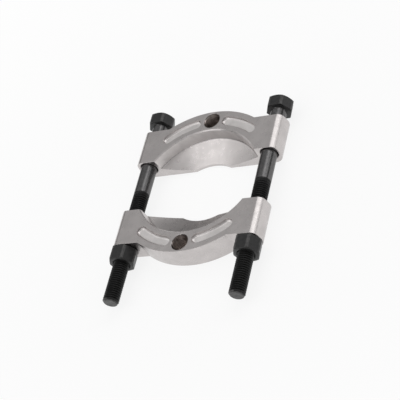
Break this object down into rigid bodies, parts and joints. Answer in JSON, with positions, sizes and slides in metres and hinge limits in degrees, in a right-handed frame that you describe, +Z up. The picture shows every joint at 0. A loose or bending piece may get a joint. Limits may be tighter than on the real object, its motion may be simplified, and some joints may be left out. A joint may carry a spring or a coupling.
{
  "type": "bearing separator",
  "caption": "Bearing separator with two wedge-edged steel halves that are drawn together on two parallel bolts by their nuts.",
  "frame": {"origin": "centre of the bounding box's base, on the plane of the halves' flat undersides", "axes": "+X from the left bolt to the right bolt, +Y along the bolts from their nuts and threaded tips to their heads, +Z up to the faces with the threaded holes"},
  "size_m": [0.1442, 0.1922, 0.0233],
  "materials": {
    "forged_steel": "satin",
    "black_oxide": "black oxide, satin"
  },
  "bodies": {
    "front_half": {"front_half": "forged_steel"},
    "rear_half": {"rear_half": "forged_steel"},
    "bolt_left": {"bolt_left": "black_oxide"},
    "bolt_right": {"bolt_right": "black_oxide"},
    "nut_left": {"nut_left": "black_oxide"},
    "nut_right": {"nut_right": "black_oxide"}
  },
  "joints": [
    {"name": "rear_half_slide", "type": "slide", "parent": "front_half", "child": "rear_half", "axis": [0, 1, 0], "range_m": [-0.0497, 0.005]},
    {"name": "nut_left_turn", "type": "hinge", "parent": "front_half", "child": "nut_left", "pos_m": [-0.06002, -0.05145, 0.0125], "axis": [0, 1, 0], "range_deg": [-6485, 725]},
    {"name": "nut_right_turn", "type": "hinge", "parent": "front_half", "child": "nut_right", "pos_m": [0.06002, -0.05145, 0.0125], "axis": [0, 1, 0], "range_deg": [-6485, 725]},
    {"name": "bolt_left_slide", "type": "slide", "parent": "front_half", "child": "bolt_left", "axis": [0, 1, 0], "range_m": [-0.004, 0.036]},
    {"name": "bolt_right_slide", "type": "slide", "parent": "front_half", "child": "bolt_right", "axis": [0, 1, 0], "range_m": [-0.004, 0.036]}
  ],
  "couplings": [
    {"joint": "nut_left_turn", "follows": "bolt_left_slide", "rad_per_m": -3141.6},
    {"joint": "nut_right_turn", "follows": "bolt_right_slide", "rad_per_m": -3141.6}
  ]
}
